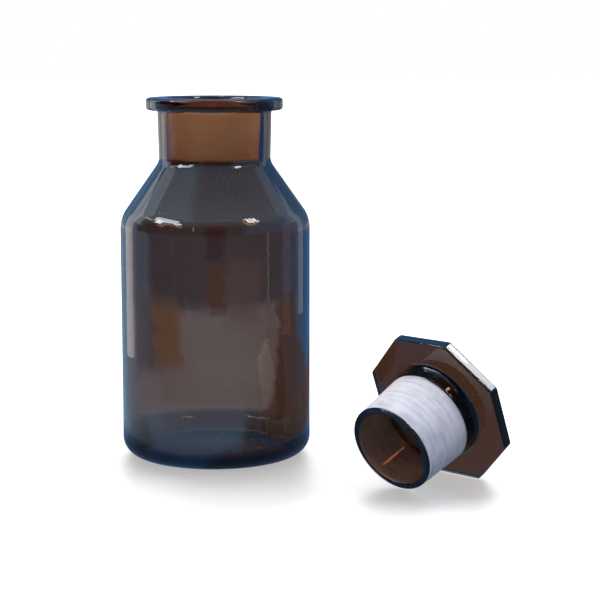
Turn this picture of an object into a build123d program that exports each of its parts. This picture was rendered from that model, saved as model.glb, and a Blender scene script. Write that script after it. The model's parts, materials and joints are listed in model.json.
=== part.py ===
from build123d import *
from math import asin, atan2, cos, hypot, radians, sin, tan
import os

# Wide-neck glass reagent bottle with its ground-glass octagonal stopper, in millimetres.
# The origin is the centre of the bottle's foot, on the bench, with +Z up the bottle's axis.
# The stopper lies on its side on the bench, beside the bottle.

# Bottle, outside
body_diameter = 70.0
bottle_height = 132.7
heel_radius = 6.9
neck_height = 23.3  # from the mouth down to where the neck and the shoulder cone would meet
shoulder_half_angle = 35.0  # between the shoulder cone and the bottle's axis
shoulder_radius = 10.5
neck_root_diameter = 41.0
neck_top_diameter = 41.9
neck_root_radius = 4.9
flange_diameter = 50.2
flange_thickness = 4.5
flange_edge_radius = 1.2
flange_root_radius = 0.8
foot_inner_diameter = 46.0  # inside of the flat ring that the bottle stands on
push_up = 2.6  # rise of the hollow under the base

# Bottle, inside
wall = 2.3
base_thickness = 3.4
inner_heel_radius = 5.5
inner_shoulder_radius = 9.0
throat_radius = 5.0  # round edge where the ground socket opens into the shoulder

# Ground joint: a standard 1:10 taper, 34.5 mm across at the mouth
joint_diameter = 34.5
joint_taper = 0.1
socket_length = 24.0
mouth_bevel = 0.5
joint_clearance = 0.05  # on the radius, between the socket and the seated plug

# Stopper
head_across_flats = 54.0
head_thickness = 4.0
head_corner_radius = 1.5
head_edge_radius = 0.6
collar_length = 5.9  # clear glass between the head and the ground band
collar_root_radius = 2.2
plug_length = 20.8  # the ground band
cup_wall = 2.2
cup_depth = 23.2
cup_end_radius = 7.0
rim_edge_radius = 0.7

# Where the stopper lies: the centre of the head's underside, and where the plug points, from +X
stopper_x = 77.3
stopper_y = -45.9
stopper_heading = 223.6

body_radius = body_diameter / 2
joint_radius = joint_diameter / 2
plug_radius = joint_radius - joint_clearance
plug_end_radius = plug_radius - plug_length * joint_taper / 2
plug_reach = collar_length + plug_length  # from the head's underside to the open end


def round_corner(at, radius):
    """Round the corner of the sketch being drawn that is nearest to a point (radius, height)."""
    fillet(vertices().sort_by_distance(Vector(*at))[0], radius)


def make_bottle():
    """One revolved wall: base, body, shoulder, neck and flange, with the ground socket inside."""
    half_angle = radians(shoulder_half_angle)
    neck_root = neck_root_diameter / 2
    neck_root_height = bottle_height - neck_height
    shoulder_height = neck_root_height - (body_radius - neck_root) / tan(half_angle)
    flange_bottom = bottle_height - flange_thickness
    inner_radius = body_radius - wall
    socket_end = joint_radius - socket_length * joint_taper / 2

    dome = (0, push_up)
    foot = (foot_inner_diameter / 2, 0)
    heel = (body_radius, 0)
    shoulder = (body_radius, shoulder_height)
    neck = (neck_root, neck_root_height)
    flange_root = (neck_top_diameter / 2, flange_bottom)
    flange_lower = (flange_diameter / 2, flange_bottom)
    flange_upper = (flange_diameter / 2, bottle_height)
    mouth_outer = (joint_radius + mouth_bevel, bottle_height)
    mouth_inner = (joint_radius - mouth_bevel * joint_taper / 2, bottle_height - mouth_bevel)
    throat = (socket_end, bottle_height - socket_length)
    inner_shoulder = (inner_radius, shoulder_height - wall * tan(half_angle / 2))
    inner_heel = (inner_radius, base_thickness)
    floor = (0, push_up + base_thickness)

    with BuildPart() as bottle:
        with BuildSketch(Plane.XZ):
            with BuildLine():
                TangentArc(dome, foot, tangent=(1, 0))
                Polyline(foot, heel, shoulder, neck, flange_root, flange_lower, flange_upper, mouth_outer,
                         mouth_inner, throat, inner_shoulder, inner_heel)
                TangentArc(floor, inner_heel, tangent=(1, 0))
                Line(floor, dome)
            make_face()
            round_corner(heel, heel_radius)
            round_corner(shoulder, shoulder_radius)
            round_corner(neck, neck_root_radius)
            round_corner(flange_root, flange_root_radius)
            round_corner(flange_lower, flange_edge_radius)
            round_corner(flange_upper, flange_edge_radius)
            round_corner(throat, throat_radius)
            round_corner(inner_shoulder, inner_shoulder_radius)
            round_corner(inner_heel, inner_heel_radius)
        revolve(axis=Axis.Z)
    return bottle.part


def make_head():
    """The flat octagonal plate, its underside at Z 0, with a flat side facing -Y."""
    with BuildPart() as head:
        with BuildSketch():
            RegularPolygon(head_across_flats / 2, 8, major_radius=False, rotation=22.5)
            fillet(vertices(), head_corner_radius)
        extrude(amount=head_thickness)
        fillet(faces().sort_by(Axis.Z)[0].edges() + faces().sort_by(Axis.Z)[-1].edges(), head_edge_radius)
    return head.part


def make_stopper():
    """Head, collar and hollow ground plug in one piece of glass, the plug pointing down -Z."""
    cup_end = plug_reach - cup_depth
    open_end = (plug_end_radius, -plug_reach)
    open_end_inside = (plug_end_radius - cup_wall, -plug_reach)
    cup_corner = (plug_end_radius - cup_wall + cup_depth * joint_taper / 2, -cup_end)

    with BuildPart() as stopper:
        add(make_head())
        with BuildSketch(Plane.XZ):
            with BuildLine():
                Polyline((0, 0), (plug_radius, 0), (plug_radius, -collar_length), open_end, open_end_inside,
                         cup_corner, (0, -cup_end), close=True)
            make_face()
            round_corner(open_end, rim_edge_radius)
            round_corner(open_end_inside, rim_edge_radius)
            round_corner(cup_corner, cup_end_radius)
        revolve(axis=Axis.Z)
        root = edges().filter_by(GeomType.CIRCLE).filter_by(lambda e: abs(e.radius - plug_radius) < 0.01)
        fillet(root.sort_by(Axis.Z)[-1], collar_root_radius)
    return stopper.part


def lying_place():
    """Plane for the stopper at rest on the bench: a flat side of the head and the plug's rim touch Z 0.

    Both touching edges are round, so seen from the side the bench is the line tangent to the two edge
    circles, whose centres are head_centre and rim_centre from the stopper's axis. The tilt is how far
    the plug's axis dips below level.
    """
    side_slope = joint_taper / 2
    head_centre = head_across_flats / 2 - head_edge_radius
    rim_centre = plug_end_radius + rim_edge_radius * (side_slope - hypot(1, side_slope))
    along = plug_reach - rim_edge_radius + head_edge_radius
    across = head_centre - rim_centre
    radius_step = head_edge_radius - rim_edge_radius
    tilt = atan2(across, along) + asin(radius_step / hypot(across, along))
    height = head_centre * cos(tilt) - head_edge_radius * sin(tilt) + head_edge_radius

    heading = radians(stopper_heading)
    plug_direction = Vector(cos(heading) * cos(tilt), sin(heading) * cos(tilt), -sin(tilt))
    level = Vector(-sin(heading), cos(heading), 0)
    return Plane(origin=(stopper_x, stopper_y, height), x_dir=level, z_dir=plug_direction * -1)


os.makedirs("parts", exist_ok=True)
export_step(make_bottle(), "parts/bottle.step")
export_step(lying_place() * make_stopper(), "parts/stopper.step")
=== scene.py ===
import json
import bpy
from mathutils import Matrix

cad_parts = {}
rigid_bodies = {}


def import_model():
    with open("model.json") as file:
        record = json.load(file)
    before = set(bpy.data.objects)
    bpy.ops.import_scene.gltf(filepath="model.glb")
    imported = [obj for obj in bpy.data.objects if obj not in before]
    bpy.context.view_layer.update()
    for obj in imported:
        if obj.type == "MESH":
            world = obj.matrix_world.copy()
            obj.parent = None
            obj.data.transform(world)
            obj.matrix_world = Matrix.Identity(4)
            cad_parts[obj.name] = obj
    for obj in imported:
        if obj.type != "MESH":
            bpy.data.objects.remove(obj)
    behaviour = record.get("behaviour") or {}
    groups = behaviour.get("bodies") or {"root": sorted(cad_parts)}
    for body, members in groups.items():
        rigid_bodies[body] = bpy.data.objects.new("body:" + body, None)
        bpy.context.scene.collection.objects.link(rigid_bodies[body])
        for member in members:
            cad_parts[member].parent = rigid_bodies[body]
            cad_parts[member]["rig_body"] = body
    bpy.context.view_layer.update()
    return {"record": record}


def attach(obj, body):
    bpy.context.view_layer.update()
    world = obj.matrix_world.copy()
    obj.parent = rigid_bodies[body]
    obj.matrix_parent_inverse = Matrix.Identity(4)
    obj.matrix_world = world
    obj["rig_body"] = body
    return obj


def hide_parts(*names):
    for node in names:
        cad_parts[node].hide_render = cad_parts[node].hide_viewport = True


bl_info = {
    "name": "Amber reagent bottle",
    "version": (1, 0, 0),
    "blender": (4, 5, 0),
    "location": "View3D > Sidebar > Reagent Bottle",
    "description": "Amber glass reagent bottle with its ground octagonal stopper lying beside it",
    "category": "Object",
}

from math import atan2, ceil, cos, pi, radians, sin, tan

import bmesh
import bpy
from bpy.props import FloatProperty, FloatVectorProperty, PointerProperty
from mathutils import Matrix, Vector

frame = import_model()
MOUNTS = {mount["name"]: mount for mount in frame["record"]["mounts"]}
BODY_RADIUS = MOUNTS["body_side"]["dims"]["r_mm"] / 1000
MOUTH_HEIGHT = MOUNTS["mouth_rim"]["pos_m"][2]
MM = 0.001
MERGE = 1e-6
AROUND = 256  # facets round a turned piece
PLATE_MARGIN = 0.4 * MM  # ring of faces kept round the head's flat plates
FACET = 0.6 * MM  # longest facet along a rounding
FACETS_PER_RADIAN = 8
FEWEST_FACETS, MOST_FACETS = 3, 40
JUST_SHORT = 0.999  # keeps a dome's rounding from using up its straight lines
SLEEVE_CLEAR = 0.2  # share of the throat's rounding that the ground socket covers
BAND_CLEAR = 1.2  # how far the ground band ends from the rim, in rim roundings
FLOOR_DROP = 0.2 * MM  # keeps the floor just under the glass


def length(name, millimetres, description):
    """A length setting, in metres."""
    return FloatProperty(
        name=name, description=description, default=millimetres * MM, min=0.0,
        precision=5, subtype="DISTANCE", unit="LENGTH",
    )


def colour(name, value, description):
    """A linear colour setting."""
    return FloatVectorProperty(
        name=name, description=description, default=value, min=0.0, soft_max=1.0, size=3, subtype="COLOR",
    )


def amount(name, value, description):
    """A plain number setting."""
    return FloatProperty(name=name, description=description, default=value, min=0.0)


def turn_angle(name, degrees, description):
    """An angle setting, in radians."""
    return FloatProperty(
        name=name, description=description, default=radians(degrees), subtype="ANGLE", unit="ROTATION",
    )


class BottleSizes(bpy.types.PropertyGroup):
    heel: length("Heel radius", 6.9, "Round edge between the side and the base")
    foot: length("Foot inner radius", 23.0, "Inside of the flat ring the bottle stands on")
    push_up: length("Push-up", 2.6, "Rise of the hollow under the base")
    base: length("Base thickness", 3.4, "Glass at the corner of the base")
    wall: length("Wall", 2.3, "Thickness of the side wall")
    neck_height: length("Neck height", 23.3, "From the mouth down to where the shoulder cone meets the neck")
    shoulder_angle: turn_angle("Shoulder angle", 35.0, "Between the shoulder cone and the axis")
    shoulder_round: length("Shoulder rounding", 10.5, "Round edge between the side and the shoulder")
    neck_root: length("Neck root radius", 20.5, "Neck radius where it meets the shoulder")
    neck_top: length("Neck top radius", 20.95, "Neck radius under the flange")
    neck_round: length("Neck root rounding", 4.9, "Hollow rounding between the shoulder and the neck")
    flange: length("Flange radius", 25.1, "Outside of the mouth flange")
    flange_thickness: length("Flange thickness", 4.5, "Height of the mouth flange")
    flange_round: length("Flange edge rounding", 1.2, "Round edges of the mouth flange")
    flange_root_round: length("Flange root rounding", 0.8, "Hollow rounding under the mouth flange")
    socket: length("Socket depth", 24.0, "From the mouth down to the end of the ground socket")
    ground_start: length("Ground start", 4.0, "From the mouth down to where the grinding shows")
    mouth_bevel: length("Mouth bevel", 0.5, "Small bevel at the mouth of the socket")
    throat_round: length("Throat rounding", 5.0, "Round edge where the socket opens into the shoulder")
    inner_heel: length("Inner heel radius", 5.5, "Round corner inside the base")
    inner_shoulder: length("Inner shoulder radius", 9.0, "Round corner inside the shoulder")
    joint: length("Joint radius", 17.25, "Radius of the ground socket at the mouth")
    taper: amount("Joint taper", 0.05, "Change of the joint's radius per length")


class StopperSizes(bpy.types.PropertyGroup):
    head: length("Head half width", 27.0, "From the head's centre to a flat side")
    head_thickness: length("Head thickness", 4.0, "Height of the octagonal head")
    head_corner: length("Head corner radius", 1.5, "Round upright corners of the head")
    head_edge: length("Head edge radius", 0.6, "Round top and bottom edges of the head")
    collar: length("Collar length", 5.9, "Clear glass between the head and the ground band")
    collar_round: length("Collar root radius", 2.2, "Hollow rounding where the collar meets the head")
    plug: length("Plug radius", 17.2, "Radius at the top of the ground band")
    plug_length: length("Ground band length", 20.8, "Length of the ground band")
    cup_wall: length("Cup wall", 2.2, "Thickness of the plug's wall")
    cup_depth: length("Cup depth", 23.2, "Depth of the hollow in the plug")
    cup_round: length("Cup end radius", 7.0, "Round corner at the end of the hollow")
    rim_round: length("Rim radius", 0.7, "Round edges of the plug's open end")


class GlassFinish(bpy.types.PropertyGroup):
    absorption: colour("Glass tint", (0.53, 0.26, 0.02), "What is left of light in the amber glass")
    density: FloatProperty(
        name="Tint density", description="Strength of the tint, per metre of glass", default=500.0, min=0.0,
    )
    wave_size: amount("Wave size", 55.0, "How close together the slow waves in the glass are")
    dust: amount("Dust", 0.35, "How matt the fine specks of dust are")
    ground: colour("Ground plug", (0.86, 0.87, 0.92), "Milky colour of the plug's ground band")
    ground_worn: colour("Ground plug marks", (0.52, 0.54, 0.62), "Colour of the marks in the ground band")
    # The socket's warm colours are partly painted light: an amber tint standing for light that reaches the
    # socket through the bottle's wall, over real grinding streaks.
    socket: colour("Ground socket", (0.85, 0.81, 0.66), "Colour of the ground socket")
    socket_streaks_painted_amber: colour("Ground socket marks", (0.72, 0.60, 0.42), "Colour of the ground socket's streaks")
    ground_skin: length("Ground skin", 0.06, "Depth of the matt layer on a ground band")
    ground_gap: length("Ground gap", 0.02, "Space between the matt layer and the clear glass")


class StudioSetup(bpy.types.PropertyGroup):
    camera_place: FloatVectorProperty(
        name="Camera place", description="Where the camera stands", default=(0.0, -0.6509, 0.1552),
        subtype="TRANSLATION", unit="LENGTH",
    )
    camera_tilt: turn_angle("Camera tilt", 8.537, "How far the camera looks down")
    camera_turn: turn_angle("Camera turn", 2.762, "How far the camera looks to the right")
    camera_lens: FloatProperty(
        name="Camera lens", description="Focal length on a 36 mm sensor", default=105.8,
        subtype="DISTANCE_CAMERA",
    )
    floor_size: length("Floor size", 12000.0, "Side of the square floor")
    floor_light: amount("Fill light", 0.9, "Strength of the white fill light on the floor and the matt bands")


SETTINGS = {
    "bottle_sizes": BottleSizes,
    "stopper_sizes": StopperSizes,
    "glass_finish": GlassFinish,
    "studio_setup": StudioSetup,
}


# ---------------------------------------------------------------- nodes

def add_node(tree, kind, inputs=None, **settings):
    """A node with its settings; an input is given as a value or as the socket that feeds it."""
    node = tree.nodes.new(kind)
    for key, value in settings.items():
        setattr(node, key, value)
    for key, value in (inputs or {}).items():
        if isinstance(value, bpy.types.NodeSocket):
            tree.links.new(value, node.inputs[key])
        else:
            node.inputs[key].default_value = value
    return node


def new_group(name, inputs, outputs):
    """An empty shader node group. Inputs are (name, type, default), and outputs are (name, type)."""
    group = bpy.data.node_groups.new(name, "ShaderNodeTree")
    for label, kind, default in inputs:
        socket = group.interface.new_socket(label, in_out="INPUT", socket_type=kind)
        if default is not None:
            socket.default_value = default
    for label, kind in outputs:
        group.interface.new_socket(label, in_out="OUTPUT", socket_type=kind)
    return group, group.nodes.new("NodeGroupInput"), group.nodes.new("NodeGroupOutput")


def place_group(tree, group, inputs):
    """A group node in a material, with its own values."""
    node = tree.nodes.new("ShaderNodeGroup")
    node.node_tree = group
    for key, value in inputs.items():
        if isinstance(value, bpy.types.NodeSocket):
            tree.links.new(value, node.inputs[key])
        else:
            node.inputs[key].default_value = value
    return node


def mix_colour(tree, factor, first, second):
    """A colour mix; each colour is a socket or three numbers."""
    node = add_node(tree, "ShaderNodeMix", {"Factor": factor}, data_type="RGBA")
    for index, value in ((6, first), (7, second)):
        if isinstance(value, bpy.types.NodeSocket):
            tree.links.new(value, node.inputs[index])
        else:
            node.inputs[index].default_value = (*value, 1.0)
    return node.outputs[2]


def maths(tree, operation, first, second=0.0):
    """A maths node's value."""
    return add_node(tree, "ShaderNodeMath", {0: first, 1: second}, operation=operation).outputs["Value"]


def ramp(tree, value, low, high, smooth=False):
    """0 where a value is low and 1 where it is high, changing evenly or smoothly between them."""
    node = add_node(tree, "ShaderNodeMapRange", {"Value": value, "From Min": low, "From Max": high},
                    interpolation_type="SMOOTHSTEP" if smooth else "LINEAR")
    return node.outputs["Result"]


def between(tree, value, low, high, edge):
    """1 where a value lies between low and high, fading out over edge on both sides."""
    middle, half = (low + high) / 2, (high - low) / 2
    off = maths(tree, "ABSOLUTE", maths(tree, "SUBTRACT", value, middle))
    return ramp(tree, off, half + edge / 2, half - edge / 2, smooth=True)


def handled_glass_group():
    """Slow waves of blown glass, and fine dust that has settled on it."""
    name = "handled glass"
    if name in bpy.data.node_groups:
        return bpy.data.node_groups[name]
    group, inp, out = new_group(
        name,
        [("Vector", "NodeSocketVector", None), ("Wave size", "NodeSocketFloat", 60.0),
         ("Dust", "NodeSocketFloat", 0.4)],
        [("Roughness", "NodeSocketFloat"), ("Height", "NodeSocketFloat")],
    )
    where = inp.outputs["Vector"]
    waves = add_node(group, "ShaderNodeTexNoise", {"Vector": where, "Scale": inp.outputs["Wave size"],
                                                   "Detail": 1.0, "Roughness": 0.4})
    specks = add_node(group, "ShaderNodeTexVoronoi", {"Vector": where, "Scale": 600.0, "Randomness": 1.0})
    speck_size = add_node(group, "ShaderNodeTexNoise", {"Vector": where, "Scale": 90.0, "Detail": 2.0})
    speck_reach = add_node(group, "ShaderNodeMapRange",
                           {"Value": speck_size.outputs["Fac"], "From Min": 0.48, "From Max": 0.75,
                            "To Min": 0.0, "To Max": 0.17})
    speck = add_node(group, "ShaderNodeMath",
                     {0: specks.outputs["Distance"], 1: speck_reach.outputs["Result"]},
                     operation="LESS_THAN")
    dust = add_node(group, "ShaderNodeMath", {0: speck.outputs["Value"], 1: inp.outputs["Dust"]},
                    operation="MULTIPLY")
    group.links.new(dust.outputs["Value"], out.inputs["Roughness"])
    group.links.new(waves.outputs["Fac"], out.inputs["Height"])
    return group


def ground_band_group():
    """Grinding marks: rings round the axis, a few crossing scratches, and cloudy patches."""
    name = "grinding marks"
    if name in bpy.data.node_groups:
        return bpy.data.node_groups[name]
    group, inp, out = new_group(
        name,
        [("Vector", "NodeSocketVector", None), ("Pale", "NodeSocketColor", (0.8, 0.8, 0.85, 1.0)),
         ("Worn", "NodeSocketColor", (0.5, 0.5, 0.55, 1.0)), ("Rings", "NodeSocketFloat", 1.0),
         ("Streaks", "NodeSocketFloat", 0.0)],
        [("Color", "NodeSocketColor"), ("Roughness", "NodeSocketFloat"), ("Height", "NodeSocketFloat")],
    )
    where = inp.outputs["Vector"]
    stretched = add_node(group, "ShaderNodeMapping", {"Vector": where, "Scale": (25.0, 25.0, 900.0)})
    rings = add_node(group, "ShaderNodeTexNoise", {"Vector": stretched.outputs["Vector"], "Scale": 1.0,
                                                   "Detail": 3.0, "Roughness": 0.6})
    slanted = add_node(group, "ShaderNodeMapping",
                       {"Vector": where, "Rotation": (radians(38), radians(22), 0.0),
                        "Scale": (60.0, 60.0, 700.0)})
    scratches = add_node(group, "ShaderNodeTexNoise", {"Vector": slanted.outputs["Vector"], "Scale": 1.0,
                                                       "Detail": 2.0, "Roughness": 0.5})
    clouds = add_node(group, "ShaderNodeTexNoise", {"Vector": where, "Scale": 160.0, "Detail": 4.0,
                                                    "Roughness": 0.6})
    upright = add_node(group, "ShaderNodeMapping", {"Vector": where, "Scale": (110.0, 110.0, 6.0)})
    streaks = add_node(group, "ShaderNodeTexNoise", {"Vector": upright.outputs["Vector"], "Scale": 1.0,
                                                     "Detail": 2.0, "Roughness": 0.5})
    marks = add_node(group, "ShaderNodeMath", {0: rings.outputs["Fac"], 1: inp.outputs["Rings"]},
                     operation="MULTIPLY")
    runs = add_node(group, "ShaderNodeMath", {0: streaks.outputs["Fac"], 1: inp.outputs["Streaks"],
                                              2: marks.outputs["Value"]}, operation="MULTIPLY_ADD")
    both = add_node(group, "ShaderNodeMath", {0: runs.outputs["Value"], 1: scratches.outputs["Fac"]},
                    operation="ADD")
    mixed = add_node(group, "ShaderNodeMath", {0: both.outputs["Value"], 1: clouds.outputs["Fac"]},
                     operation="ADD")
    level = add_node(group, "ShaderNodeMapRange", {"Value": mixed.outputs["Value"], "From Min": 1.2,
                                                   "From Max": 1.8, "To Min": 0.0, "To Max": 1.0})
    tone = add_node(group, "ShaderNodeMix", {"Factor": level.outputs["Result"]}, data_type="RGBA")
    group.links.new(inp.outputs["Pale"], tone.inputs[6])
    group.links.new(inp.outputs["Worn"], tone.inputs[7])
    rough = add_node(group, "ShaderNodeMapRange", {"Value": clouds.outputs["Fac"], "From Min": 0.3,
                                                   "From Max": 0.7, "To Min": 0.7, "To Max": 0.95})
    group.links.new(tone.outputs[2], out.inputs["Color"])
    group.links.new(rough.outputs["Result"], out.inputs["Roughness"])
    group.links.new(mixed.outputs["Value"], out.inputs["Height"])
    return group


def object_place(tree, place):
    """Coordinates measured from a piece's own axis: along Z down its middle."""
    coordinates = add_node(tree, "ShaderNodeTexCoord")
    own = add_node(tree, "ShaderNodeMapping", {"Vector": coordinates.outputs["Object"],
                                               "Location": place.to_translation(),
                                               "Rotation": place.to_euler()}, vector_type="TEXTURE")
    return own.outputs["Vector"]


def clear_amber(name, place, finish):
    """Polished amber glass."""
    material = bpy.data.materials.new(name)
    material.use_nodes = True
    tree = material.node_tree
    tree.nodes.clear()
    handled = place_group(tree, handled_glass_group(),
                          {"Vector": object_place(tree, place), "Wave size": finish.wave_size,
                           "Dust": finish.dust})
    bump = add_node(tree, "ShaderNodeBump", {"Height": handled.outputs["Height"], "Strength": 0.12,
                                             "Distance": 0.4 * MM})
    glass = add_node(tree, "ShaderNodeBsdfPrincipled",
                     {"Base Color": (1.0, 1.0, 1.0, 1.0), "Transmission Weight": 1.0, "IOR": 1.5,
                      "Roughness": handled.outputs["Roughness"], "Normal": bump.outputs["Normal"]})
    tint = add_node(tree, "ShaderNodeVolumeAbsorption",
                    {"Color": (*finish.absorption, 1.0), "Density": finish.density})
    add_node(tree, "ShaderNodeOutputMaterial", {"Surface": glass.outputs["BSDF"],
                                                "Volume": tint.outputs["Volume"]})
    return material


def ground_matt(name, place, pale, worn, rings, streaks, through):
    """The milky matt face that grinding leaves."""
    material = bpy.data.materials.new(name)
    material.use_nodes = True
    tree = material.node_tree
    tree.nodes.clear()
    marks = place_group(tree, ground_band_group(),
                        {"Vector": object_place(tree, place), "Pale": (*pale, 1.0),
                         "Worn": (*worn, 1.0), "Rings": rings, "Streaks": streaks})
    bump = add_node(tree, "ShaderNodeBump", {"Height": marks.outputs["Height"], "Strength": 0.35,
                                             "Distance": 0.05 * MM})
    matt = add_node(tree, "ShaderNodeBsdfPrincipled",
                    {"Base Color": marks.outputs["Color"], "Roughness": marks.outputs["Roughness"],
                     "Transmission Weight": through, "IOR": 1.3, "Normal": bump.outputs["Normal"]})
    add_node(tree, "ShaderNodeOutputMaterial", {"Surface": matt.outputs["BSDF"]})
    return material


# ---------------------------------------------------------------- shaping

def turned(corners, longest=1.5 * MM, closed=False):
    """Turn a line through corners (radius, height, rounding radius) about Z into a skin."""
    bm = bmesh.new()
    verts = [bm.verts.new((r, 0.0, z)) for r, z, _ in corners]
    pairs = list(zip(verts, verts[1:] + verts[:1])) if closed else list(zip(verts, verts[1:]))
    for a, b in pairs:
        bm.edges.new((a, b))
    roundings = []
    for before, here, after in zip(corners, corners[1:], corners[2:]):
        arriving = Vector(here[:2]) - Vector(before[:2])
        leaving = Vector(after[:2]) - Vector(here[:2])
        bend = abs(arriving.angle_signed(leaving))
        facets = max(FEWEST_FACETS, ceil(bend * here[2] / FACET), ceil(bend * FACETS_PER_RADIAN))
        roundings.append((here[2] * tan(bend / 2), min(facets, MOST_FACETS)))
    for vert, (offset, segments) in zip(verts[1:-1], roundings):
        if offset:
            bmesh.ops.bevel(bm, geom=[vert], offset=offset, offset_type="OFFSET", affect="VERTICES",
                            segments=segments, profile=0.5, material=-1, clamp_overlap=False)
    for edge in [e for e in bm.edges if e.calc_length() > longest]:
        bmesh.ops.subdivide_edges(bm, edges=[edge], cuts=ceil(edge.calc_length() / longest) - 1)
    bmesh.ops.spin(bm, geom=bm.verts[:] + bm.edges[:], cent=(0, 0, 0), axis=(0, 0, 1), dvec=(0, 0, 0),
                   angle=2 * pi, steps=AROUND, use_merge=True, use_duplicate=False)
    bmesh.ops.remove_doubles(bm, verts=bm.verts[:], dist=MERGE)
    bmesh.ops.recalc_face_normals(bm, faces=bm.faces[:])
    return bm


def domed(rise, reach):
    """The corner (radius, height, rounding) whose rounding is a dome of that rise and reach."""
    corner = (reach ** 2 + rise ** 2) / (2 * reach)
    bend = atan2(rise, reach - corner)
    return corner, rise, JUST_SHORT * corner / tan(bend / 2)


def add_head(bm, sizes):
    """Put the octagonal head on a turned plug whose open edge lies in the head's underside, at height 0."""
    ring = [e for e in bm.edges if e.is_boundary]
    corners = bmesh.ops.create_circle(bm, segments=8, radius=sizes.head / cos(pi / 8), cap_ends=False,
                                      matrix=Matrix.Rotation(pi / 8, 4, "Z"))["verts"]
    outline = list(dict.fromkeys(e for v in corners for e in v.link_edges))
    raised = bmesh.ops.extrude_edge_only(bm, edges=outline)["geom"]
    tops = [g for g in raised if isinstance(g, bmesh.types.BMVert)]
    bmesh.ops.translate(bm, verts=tops, vec=(0, 0, sizes.head_thickness))
    bmesh.ops.contextual_create(bm, geom=[g for g in raised if isinstance(g, bmesh.types.BMEdge)])
    bmesh.ops.contextual_create(bm, geom=outline)
    posts = [e for v in corners for e in v.link_edges
             if abs(e.verts[0].co.z - e.verts[1].co.z) > sizes.head_edge]
    bmesh.ops.bevel(bm, geom=posts, offset=sizes.head_corner * tan(pi / 8), offset_type="OFFSET",
                    affect="EDGES", segments=6, profile=0.5, material=-1, clamp_overlap=False)
    rims = list(dict.fromkeys(e for f in flat_plates(bm) for e in f.edges))
    bmesh.ops.bevel(bm, geom=rims, offset=sizes.head_edge, offset_type="OFFSET", affect="EDGES",
                    segments=5, profile=0.5, material=-1, clamp_overlap=False)
    plates = flat_plates(bm)
    if len(plates) != 2:
        raise RuntimeError("the head's two flat plates were not found")
    bmesh.ops.inset_region(bm, faces=plates, thickness=PLATE_MARGIN, use_even_offset=True)
    lower = min(plates, key=lambda f: f.calc_center_median().z)
    hole = lower.edges[:]
    bmesh.ops.delete(bm, geom=[lower], context="FACES_ONLY")
    bmesh.ops.bridge_loops(bm, edges=ring + hole)
    bmesh.ops.triangulate(bm, faces=[f for f in bm.faces if len(f.verts) > 4])
    bmesh.ops.recalc_face_normals(bm, faces=bm.faces[:])


def flat_plates(bm):
    """The head's top and underside, the only level faces with many corners."""
    return [f for f in bm.faces if len(f.verts) > 20 and abs(f.normal.z) > 0.9]


def finish_piece(bm, name, material, body, place=Matrix.Identity(4)):
    """Put a shaped piece in its place in the frame, with its finish and the body it moves with."""
    bmesh.ops.transform(bm, matrix=place, verts=bm.verts[:])
    mesh = bpy.data.meshes.new(name)
    bm.to_mesh(mesh)
    bm.free()
    mesh.shade_smooth()
    mesh.materials.append(material)
    piece = bpy.data.objects.new(name, mesh)
    bpy.context.scene.collection.objects.link(piece)
    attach(piece, body)
    return piece


def ground_sleeve(top_radius, top, bottom, taper, outwards, finish):
    """A thin closed sleeve on a tapered wall whose radius is top_radius at height top."""
    skin = finish.ground_skin * (1 if outwards else -1)
    low_radius = top_radius - (top - bottom) * taper
    return turned([(top_radius, top, 0), (low_radius, bottom, 0), (low_radius - skin, bottom, 0),
                   (top_radius - skin, top, 0)], closed=True)


def stopper_place():
    """The stopper's frame: +Z up through the head, the plug pointing down, a flat side facing the bench."""
    mount = MOUNTS["stopper_plug"]
    plug = Vector(mount["axis"]).normalized()
    level = Vector((-plug.y, plug.x, 0.0)).normalized()
    up = -plug
    turn = Matrix((level, up.cross(level), up)).transposed().to_4x4()
    sizes = bpy.context.scene.stopper_sizes
    return Matrix.Translation(Vector(mount["pos_m"]) - plug * sizes.collar) @ turn


# ---------------------------------------------------------------- operators

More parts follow.
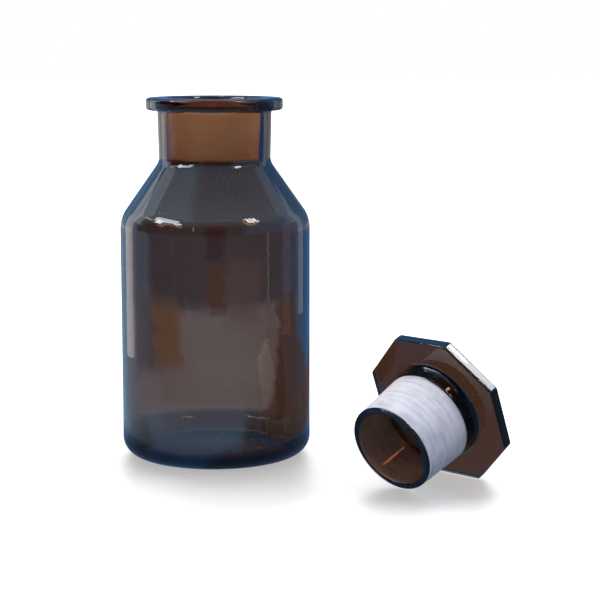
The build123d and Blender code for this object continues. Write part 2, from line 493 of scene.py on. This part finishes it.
class MakeBottle(bpy.types.Operator):
    """Turn the bottle's glass wall and its ground socket"""

    bl_idname = "reagent.bottle"
    bl_label = "Bottle"

    def execute(self, context):
        s = context.scene.bottle_sizes
        finish = context.scene.glass_finish
        upright = Matrix.Identity(4)
        neck_root_z = MOUTH_HEIGHT - s.neck_height
        shoulder_z = neck_root_z - (BODY_RADIUS - s.neck_root) / tan(s.shoulder_angle)
        flange_z = MOUTH_HEIGHT - s.flange_thickness
        inner = BODY_RADIUS - s.wall
        recess = finish.ground_skin + finish.ground_gap
        socket_top = MOUTH_HEIGHT - s.mouth_bevel
        socket_end = MOUTH_HEIGHT - s.socket
        bore_top = s.joint - s.mouth_bevel * s.taper
        bore_end = s.joint - s.socket * s.taper
        foot_r, foot_z, foot_round = domed(s.push_up, s.foot)
        floor_r, floor_z, floor_round = domed(s.push_up, inner)
        ground_top = MOUTH_HEIGHT - s.ground_start
        bore_ground = s.joint - s.ground_start * s.taper
        corners = [
            (0.0, s.push_up, 0), (foot_r, foot_z, foot_round), (s.foot, 0.0, 0),
            (BODY_RADIUS, 0.0, s.heel), (BODY_RADIUS, shoulder_z, s.shoulder_round),
            (s.neck_root, neck_root_z, s.neck_round), (s.neck_top, flange_z, s.flange_root_round),
            (s.flange, flange_z, s.flange_round), (s.flange, MOUTH_HEIGHT, s.flange_round),
            (s.joint + s.mouth_bevel, MOUTH_HEIGHT, 0), (bore_top, socket_top, 0),
            (bore_ground, ground_top, 0), (bore_ground + recess, ground_top, 0),
            (bore_end + recess, socket_end, 0),
            (inner, shoulder_z - s.wall * tan(s.shoulder_angle / 2), s.inner_shoulder),
            (inner, s.base, s.inner_heel), (floor_r, floor_z + s.base, floor_round),
            (0.0, s.push_up + s.base, 0),
        ]
        glass = clear_amber("bottle clear amber", upright, finish)
        bottle = finish_piece(turned(corners), "bottle_glass_wall", glass, "bottle")
        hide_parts("bottle")

        # Warm socket colours: painted amber light over real grinding streaks.
        matt = ground_matt("socket ground face", upright, finish.socket, finish.socket_streaks_painted_amber,
                           rings=0.0, streaks=1.0, through=0.85)
        sleeve = ground_sleeve(bore_ground, ground_top - finish.ground_gap,
                               socket_end + s.throat_round * SLEEVE_CLEAR, s.taper, False, finish)
        finish_piece(sleeve, "socket_ground_face", matt, "bottle")
        return {"FINISHED"}


class MakeStopper(bpy.types.Operator):
    """Make the stopper's octagonal head, collar and hollow plug, with its ground band"""

    bl_idname = "reagent.stopper"
    bl_label = "Stopper"

    def execute(self, context):
        s = context.scene.stopper_sizes
        taper = context.scene.bottle_sizes.taper
        finish = context.scene.glass_finish
        place = stopper_place()
        reach = s.collar + s.plug_length
        end = s.plug - s.plug_length * taper
        recess = finish.ground_skin + finish.ground_gap
        band_end = -reach + s.rim_round * BAND_CLEAR
        corners = [
            (s.plug + s.collar_round, 0.0, 0), (s.plug, 0.0, s.collar_round), (s.plug, -s.collar, 0),
            (s.plug - recess, -s.collar, 0), (end - recess + (band_end + reach) * taper, band_end, 0),
            (end + (band_end + reach) * taper, band_end, 0), (end, -reach, s.rim_round),
            (end - s.cup_wall, -reach, s.rim_round),
            (end - s.cup_wall + s.cup_depth * taper, -reach + s.cup_depth, s.cup_round),
            (0.0, -reach + s.cup_depth, 0),
        ]
        glass = clear_amber("stopper clear amber", place, finish)
        bm = turned(corners)
        add_head(bm, s)
        stopper = finish_piece(bm, "stopper_glass_body", glass, "stopper", place)
        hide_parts("stopper")

        matt = ground_matt("plug ground face", place, finish.ground, finish.ground_worn,
                           rings=0.6, streaks=0.0, through=0.3)
        sleeve = ground_sleeve(s.plug, -s.collar, band_end, taper, True, finish)
        finish_piece(sleeve, "plug_ground_band", matt, "stopper", place)
        return {"FINISHED"}


# ---------------------------------------------------------------- studio

MIDDLE = (0.02, -0.01, 0.07)  # middle of the glassware
WHITE, COOL, SKY, WARM = (1.0, 0.99, 1.0), (0.92, 0.96, 1.0), (0.75, 0.88, 1.0), (1.0, 0.94, 0.88)
# (name, azimuth, elevation, distance, width and height, radiance, tint, pieces lit, seen through glass)
WINDOWS = (
    ("left window", -73, 38, 1.0, (0.56, 0.19), 11.0, SKY, "both", True),
    ("left strip window", -101, 31, 1.0, (0.26, 0.04), 6.0, SKY, "both", True),
    ("left low window", -80, 30, 1.0, (0.17, 0.12), 14.0, WARM, "both", True),
    ("left front window", -51, 32, 1.0, (0.15, 0.08), 11.0, COOL, "both", True),
    ("front window", -30, 24, 1.0, (0.05, 0.05), 8.0, COOL, "both", True),
    ("right window", 54, 45, 1.0, (0.23, 0.28), 14.0, WARM, "both", True),
    ("high right window", 82, 52, 1.0, (0.35, 0.35), 14.0, WHITE, "stopper only", False),
    ("high right pane", 82, 52, 0.9, (0.08, 0.08), 30.0, WARM, "stopper only", True),
)
# Cards beside the bottle and spots over it: (name, place, height aimed at, width and height, radiance, tint)
CARDS = (
    ("left card", (-0.195, 0.12, 0.11), 0.11, (0.080, 0.22), 1.1, WHITE),
    ("right wall card", (0.206, 0.115, 0.12), 0.12, (0.050, 0.20), 0.5, COOL),
    ("left upper card", (-0.252, 0.094, 0.25), 0.10, (0.10, 0.20), 0.9, COOL),
    ("right upper card", (0.252, 0.094, 0.25), 0.10, (0.09, 0.20), 0.35, COOL),
    ("right card", (0.266, -0.138, 0.045), 0.045, (0.012, 0.09), 0.7, WHITE),
    ("left ceiling spot", (-0.03, 0.06, 0.40), 0.12, (0.02, 0.02), 60.0, WARM),
    ("right ceiling spot", (0.05, 0.09, 0.40), 0.12, (0.02, 0.02), 60.0, WARM),
)
# The table as clear glass sees it: (colour, spread low and high, metres behind low and high, edges of both).
# Spread is metres to the right for each metre behind a point in front of the bottle.
TABLE_ZONES = (
    ((0.30, 0.52, 0.82), -90.0, -0.30, -0.12, 90.0, 0.06, 0.04),
    ((0.32, 0.44, 0.70), -0.30, 0.13, 0.04, 0.38, 0.03, 0.10),
    ((0.11, 0.13, 0.20), -0.30, 0.28, 0.36, 90.0, 0.05, 0.10),
    ((0.20, 0.20, 0.28), 0.015, 0.075, 0.34, 0.56, 0.03, 0.20),
    ((0.09, 0.06, 0.08), -0.013, 0.013, 0.56, 1.3, 0.010, 0.10),
    ((0.16, 0.115, 0.07), -0.013, 0.013, 0.34, 0.56, 0.008, 0.06),
    ((0.15, 0.15, 0.17), -0.22, -0.115, 0.17, 0.42, 0.03, 0.08),
    ((0.30, 0.26, 0.16), -0.125, -0.065, 0.18, 0.38, 0.02, 0.10),
    ((0.17, 0.15, 0.18), 0.125, 0.25, 0.02, 0.37, 0.02, 0.04),
    ((0.75, 0.80, 0.85), -90.0, -0.26, 0.85, 90.0, 0.06, 0.10),
    ((0.45, 0.45, 0.50), 0.26, 90.0, 0.85, 90.0, 0.06, 0.10),
)
# Painted shade on the table near the stopper, as clear glass sees it: (colour, metres right low and high,
# metres behind low and high, edge).
STOPPER_PAINTED_SHADE_ZONES = (
    ((0.10, 0.15, 0.24), 0.128, 0.45, -0.08, 0.13, 0.03),
    ((0.17, 0.14, 0.15), 0.064, 0.130, -0.06, 0.26, 0.015),
)
TABLE = (0.07, 0.27, 0.64)
TABLE_FRONT = (0.12, 0.20, 0.34)
TABLE_FAR_FRONT = (0.05, 0.05, 0.06)
TABLE_AT_FOOT = (0.16, 0.55, 1.30)
TABLE_NEAR_FRONT = (0.50, 0.90, 1.50)
# Painted shadow: the table right under the bottle is darker.
TABLE_PAINTED_SHADOW = (0.11, 0.17, 0.31)
TABLE_GLOW = (0.16, 0.20, 0.28)  # light that matt faces get from below
SPREAD_FROM = 0.12  # metres in front of the bottle's axis
RIPPLE_SCALE, RIPPLE_SIDEWAYS, RIPPLE_BACK = 16.0, 0.02, 0.10  # the table's zones have wavy edges
# Painted contact shadow: the floor's emitted white is darkened where glass is near.
SHADE_REACH, SHADE_SAMPLES = 0.09, 8  # how near glass has to be for the floor to darken

# The surroundings as clear glass sees them
WALL = (0.03, 0.055, 0.10)
WALL_BEHIND = (0.10, 0.22, 0.42)
WALL_BEHIND_LEFT = (0.25, 0.50, 0.90)
WALL_RIGHT = (0.14, 0.38, 0.80)
HIGH_SKY = (0.55, 0.62, 0.88)
HIGH_SKY_LEFT = (0.82, 1.15, 1.60)
HIGH_SKY_BEHIND = (0.25, 0.60, 1.20)
# The fill light on matt faces, from the lower right and from the upper left
FILL_SHADE = (0.07, 0.17, 0.40)
FILL_LIT = (1.7, 1.7, 1.75)


def scaled(tint, light):
    """A colour made brighter or dimmer."""
    return tuple(part * light for part in tint)


def around(azimuth, elevation, distance):
    """A point round the glassware. Azimuth 0 is the camera's side, and 90 its right."""
    a, e = radians(azimuth), radians(elevation)
    return Vector(MIDDLE) + distance * Vector((sin(a) * cos(e), -cos(a) * cos(e), sin(e)))


def soft_window(name, place, aim, size, radiance, tint, lit):
    """A soft rectangular light that faces aim and shows only in the gloss of the pieces in lit."""
    light = bpy.data.lights.new(name, "AREA")
    light.shape = "RECTANGLE"
    light.size, light.size_y = size
    light.energy = radiance * pi * size[0] * size[1]
    light.color = tint
    lamp = bpy.data.objects.new(name, light)
    away = (Vector(place) - Vector(aim)).normalized()
    lamp.matrix_world = Matrix.Translation(place) @ away.to_track_quat("Z", "Y").to_matrix().to_4x4()
    lamp.visible_camera = False
    lamp.visible_diffuse = False
    lamp.light_linking.receiver_collection = lit
    bpy.context.scene.collection.objects.link(lamp)
    return lamp


def table_colour(tree, where):
    """The colour that clear glass sees at a place on the table, with a painted shadow under the bottle and
    painted shade near the stopper.
    """
    axes = add_node(tree, "ShaderNodeSeparateXYZ", {"Vector": where})
    ripple = add_node(tree, "ShaderNodeTexNoise", {"Vector": where, "Scale": RIPPLE_SCALE, "Detail": 2.0})
    ripples = add_node(tree, "ShaderNodeSeparateColor", {"Color": ripple.outputs["Color"]})
    sideways = maths(tree, "SUBTRACT", ripples.outputs["Red"], 0.5)
    back = maths(tree, "SUBTRACT", ripples.outputs["Green"], 0.5)
    x = maths(tree, "ADD", axes.outputs["X"], maths(tree, "MULTIPLY", sideways, RIPPLE_SIDEWAYS))
    y = maths(tree, "ADD", axes.outputs["Y"], maths(tree, "MULTIPLY", back, RIPPLE_BACK))
    depth = maths(tree, "MAXIMUM", maths(tree, "ADD", y, SPREAD_FROM), 0.001)
    spread = maths(tree, "DIVIDE", x, depth)
    shown = TABLE
    for tint, low, high, near, far, side_edge, depth_edge in TABLE_ZONES:
        mask = maths(tree, "MULTIPLY", between(tree, spread, low, high, side_edge),
                     between(tree, y, near, far, depth_edge))
        shown = mix_colour(tree, mask, shown, tint)
    # Painted shade on the table near the stopper.
    for tint, low, high, near, far, edge in STOPPER_PAINTED_SHADE_ZONES:
        mask = maths(tree, "MULTIPLY", between(tree, x, low, high, edge), between(tree, y, near, far, edge))
        shown = mix_colour(tree, mask, shown, tint)
    front_tint = mix_colour(tree, ramp(tree, y, -1.4, -0.9), TABLE_FAR_FRONT, TABLE_FRONT)
    shown = mix_colour(tree, ramp(tree, y, -0.02, -0.10), shown, front_tint)

    # In front of the bottle and near it, but not where the stopper's head would mirror it
    from_axis = add_node(tree, "ShaderNodeVectorMath", {0: where}, operation="LENGTH").outputs["Value"]
    in_front = ramp(tree, y, -0.015, -0.035)
    clear_of_stopper = ramp(tree, maths(tree, "ADD", x, y), -0.035, -0.060)
    nearby = maths(tree, "MULTIPLY", in_front, ramp(tree, from_axis, 0.16, 0.11))
    nearby = maths(tree, "MULTIPLY", nearby, clear_of_stopper)
    shown = mix_colour(tree, nearby, shown, TABLE_NEAR_FRONT)
    front_rim = maths(tree, "MULTIPLY", in_front, ramp(tree, from_axis, 0.020, 0.026))
    front_rim = maths(tree, "MULTIPLY", front_rim, clear_of_stopper)
    # Painted shadow under the bottle, and brighter blue just in front of its foot.
    at_foot = mix_colour(tree, front_rim, TABLE_PAINTED_SHADOW, TABLE_AT_FOOT)
    return mix_colour(tree, ramp(tree, from_axis, 0.08, 0.05), shown, at_foot)


def floor_material(light):
    """A white satin sheet for the eye, darkened near the glass by a painted contact shadow; clear glass sees
    the blue table that it was stood on, with painted shade on it.
    """
    material = bpy.data.materials.new("studio floor")
    material.use_nodes = True
    tree = material.node_tree
    tree.nodes.clear()
    path = add_node(tree, "ShaderNodeLightPath")
    where = add_node(tree, "ShaderNodeTexCoord").outputs["Object"]
    seen = mix_colour(tree, path.outputs["Is Singular Ray"], scaled(TABLE_GLOW, light),
                      table_colour(tree, where))
    table = add_node(tree, "ShaderNodeEmission", {"Color": seen})

    # Painted contact shadow: ambient occlusion near the glass darkens the emitted white, down to 0.41 of it.
    open_sky = add_node(tree, "ShaderNodeAmbientOcclusion", {"Distance": SHADE_REACH}, samples=SHADE_SAMPLES)
    tone = add_node(tree, "ShaderNodeMapRange", {"Value": open_sky.outputs["AO"], "From Min": 0.72,
                                                 "From Max": 0.95, "To Min": 0.41, "To Max": 1.0})
    grain = add_node(tree, "ShaderNodeTexNoise", {"Vector": where, "Scale": 3.0})
    shade = add_node(tree, "ShaderNodeMapRange", {"Value": grain.outputs["Fac"], "To Min": 0.99,
                                                  "To Max": 1.01})
    white = maths(tree, "MULTIPLY", tone.outputs["Result"], shade.outputs["Result"])
    sheet = add_node(tree, "ShaderNodeEmission", {"Color": white})
    gloss = add_node(tree, "ShaderNodeBsdfGlossy", {"Color": (0.72, 0.72, 0.72, 1.0), "Roughness": 0.45})
    satin = add_node(tree, "ShaderNodeAddShader", {0: sheet.outputs["Emission"], 1: gloss.outputs["BSDF"]})
    mix = add_node(tree, "ShaderNodeMixShader",
                   {0: path.outputs["Is Camera Ray"], 1: table.outputs["Emission"],
                    2: satin.outputs["Shader"]})
    add_node(tree, "ShaderNodeOutputMaterial", {"Surface": mix.outputs["Shader"]})
    return material


def studio_world(light):
    """White for the eye, a slanting fill for matt faces, and dark walls and pale sky for clear glass."""
    world = bpy.data.worlds.new("studio")
    world.use_nodes = True
    tree = world.node_tree
    tree.nodes.clear()
    path = add_node(tree, "ShaderNodeLightPath")
    where = add_node(tree, "ShaderNodeTexCoord")
    axes = add_node(tree, "ShaderNodeSeparateXYZ", {"Vector": where.outputs["Generated"]})
    x, y, z = axes.outputs["X"], axes.outputs["Y"], axes.outputs["Z"]
    left = ramp(tree, x, -0.25, -0.50, smooth=True)
    right = ramp(tree, x, 0.45, 0.70, smooth=True)
    behind = ramp(tree, y, 0.20, 0.45, smooth=True)
    walls = mix_colour(tree, behind, WALL, WALL_BEHIND)
    walls = mix_colour(tree, maths(tree, "MULTIPLY", left, behind), walls, WALL_BEHIND_LEFT)
    walls = mix_colour(tree, right, walls, WALL_RIGHT)
    high = mix_colour(tree, left, HIGH_SKY, HIGH_SKY_LEFT)
    high = mix_colour(tree, behind, high, HIGH_SKY_BEHIND)
    sky = mix_colour(tree, ramp(tree, z, 0.35, 0.85, smooth=True), walls, high)
    lift = maths(tree, "SUBTRACT", z, maths(tree, "MULTIPLY", x, 0.8))
    fill = mix_colour(tree, ramp(tree, lift, -0.6, 0.85), scaled(FILL_SHADE, light), scaled(FILL_LIT, light))
    soft = mix_colour(tree, path.outputs["Is Diffuse Ray"], (1.0, 1.0, 1.0), fill)
    seen = mix_colour(tree, path.outputs["Is Singular Ray"], soft, sky)
    shown = mix_colour(tree, path.outputs["Is Camera Ray"], seen, (1.0, 1.0, 1.0))
    background = add_node(tree, "ShaderNodeBackground", {"Color": shown})
    add_node(tree, "ShaderNodeOutputWorld", {"Surface": background.outputs["Background"]})
    return world


class MakeStudio(bpy.types.Operator):
    """Set up the floor, the soft windows, the sky and the camera"""

    bl_idname = "reagent.studio"
    bl_label = "Studio"

    def execute(self, context):
        s = context.scene.studio_setup
        scene = context.scene
        bm = bmesh.new()
        bmesh.ops.create_grid(bm, x_segments=1, y_segments=1, size=s.floor_size / 2)
        mesh = bpy.data.meshes.new("floor")
        bm.to_mesh(mesh)
        bm.free()
        mesh.materials.append(floor_material(s.floor_light))
        floor = bpy.data.objects.new("floor", mesh)
        floor.location.z = -FLOOR_DROP
        scene.collection.objects.link(floor)
        floor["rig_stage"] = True

        names = ("both", "bottle only", "stopper only", "socket only")
        groups = {name: bpy.data.collections.new(name) for name in names}
        groups["socket only"].objects.link(bpy.data.objects["socket_ground_face"])
        for thing in scene.objects:
            if thing.type == "MESH" and not thing.get("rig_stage") and not thing.hide_render:
                groups["both"].objects.link(thing)
                groups[thing["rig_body"] + " only"].objects.link(thing)
        for name, azimuth, elevation, distance, size, radiance, tint, lit, through in WINDOWS:
            place = around(azimuth, elevation, distance)
            window = soft_window(name, place, MIDDLE, size, radiance, tint, groups[lit])
            window.visible_transmission = through
        for name, place, height, size, radiance, tint in CARDS:
            soft_window(name, place, (0.0, 0.0, height), size, radiance, tint, groups["bottle only"])
        overhead = soft_window("overhead lamp", (0.0, 0.06, 0.40), (0.0, 0.0, 0.12), (0.3, 0.3), 25.0, WHITE,
                               groups["socket only"])
        overhead.visible_diffuse = True

        scene.world = studio_world(s.floor_light)
        lens = bpy.data.cameras.new("camera")
        lens.sensor_width = 36.0
        lens.lens = s.camera_lens
        lens.clip_start, lens.clip_end = 0.01, 50.0
        camera = bpy.data.objects.new("camera", lens)
        camera.location = s.camera_place
        camera.rotation_euler = (pi / 2 - s.camera_tilt, 0.0, -s.camera_turn)
        scene.collection.objects.link(camera)
        scene.camera = camera
        scene.view_settings.view_transform = "Standard"
        return {"FINISHED"}


STEPS = (MakeBottle, MakeStopper, MakeStudio)


class ReagentBottlePanel(bpy.types.Panel):
    """Lists the pieces to make and the settings behind them"""

    bl_label = "Reagent Bottle"
    bl_idname = "VIEW3D_PT_reagent_bottle"
    bl_space_type = "VIEW_3D"
    bl_region_type = "UI"
    bl_category = "Reagent Bottle"

    def draw(self, context):
        layout = self.layout
        for step in STEPS:
            layout.operator(step.bl_idname)
        for name in SETTINGS:
            settings = getattr(context.scene, name)
            box = layout.box()
            box.label(text=name.replace("_", " ").capitalize())
            for key in settings.bl_rna.properties.keys():
                if key not in ("rna_type", "name"):
                    box.prop(settings, key)


CLASSES = (*SETTINGS.values(), *STEPS, ReagentBottlePanel)


def register():
    for cls in CLASSES:
        bpy.utils.register_class(cls)
    for name, group in SETTINGS.items():
        setattr(bpy.types.Scene, name, PointerProperty(type=group))


def unregister():
    for name in SETTINGS:
        delattr(bpy.types.Scene, name)
    for cls in reversed(CLASSES):
        bpy.utils.unregister_class(cls)


def main():
    register()
    bpy.ops.reagent.bottle()
    bpy.ops.reagent.stopper()
    bpy.ops.reagent.studio()


if __name__ == "__main__":
    main()
